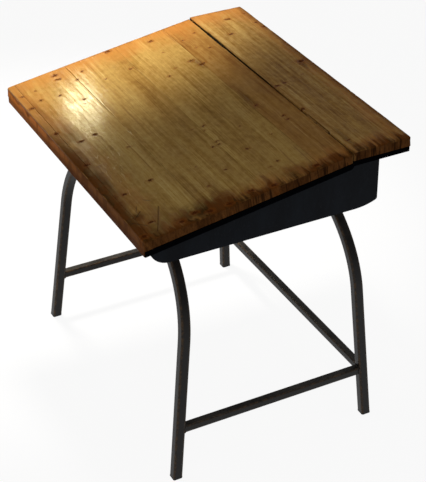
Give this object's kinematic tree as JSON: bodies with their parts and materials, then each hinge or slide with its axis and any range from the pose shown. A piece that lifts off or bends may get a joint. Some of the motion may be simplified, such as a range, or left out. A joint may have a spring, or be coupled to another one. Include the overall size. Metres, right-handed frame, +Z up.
{
  "type": "school desk",
  "caption": "Pupil's desk with a sloping hinged wooden lid over a folded steel book box, carried by bent square-tube leg frames joined by rails.",
  "frame": {"origin": "on the floor under the centre of the desk top", "axes": "+X to the right of the seated pupil, +Y to the rear of the desk, +Z up"},
  "size_m": [0.61, 0.498, 0.591],
  "materials": {
    "wood": "worn clear varnish, honey brown, darker along the edges",
    "box_paint": "black stove enamel, satin, slightly mottled",
    "tube_paint": "black-brown enamel, satin, rubbed through along the edges",
    "steel": "dull zinc-plated steel",
    "rubber": "matte black",
    "glide_plastic": "matte black"
  },
  "bodies": {
    "desk_frame": {"rear_board": "wood", "box_tray": "box_paint", "box_side_left": "box_paint", "box_side_right": "box_paint", "front_leg_frame": "tube_paint", "rear_leg_frame": "tube_paint", "side_rail_left": "tube_paint", "side_rail_right": "tube_paint", "rear_cross_rail": "tube_paint", "front_bracket": "tube_paint", "rear_bracket": "tube_paint", "rear_board_screws": "steel", "hinge_left_fixed_leaf": "steel", "hinge_right_fixed_leaf": "steel", "hinge_left_pin": "steel", "hinge_right_pin": "steel", "hinge_fixed_screws": "steel", "bracket_bolts": "steel", "bracket_nuts": "steel", "lid_buffers": "rubber", "front_left_glide": "glide_plastic", "front_right_glide": "glide_plastic", "rear_left_glide": "glide_plastic", "rear_right_glide": "glide_plastic"},
    "lid": {"lid_stave_1": "wood", "lid_stave_2": "wood", "lid_stave_3": "wood", "lid_stave_4": "wood", "lid_nosing": "wood", "lid_batten_left": "wood", "lid_batten_right": "wood", "lid_batten_screws": "steel", "hinge_left_lid_leaf": "steel", "hinge_right_lid_leaf": "steel", "hinge_lid_screws": "steel"}
  },
  "joints": [
    {"name": "lid_hinge", "type": "hinge", "parent": "desk_frame", "child": "lid", "pos_m": [0, 0.1356, 0.5872], "axis": [-1, 0, 0], "range_deg": [0, 105]}
  ]
}
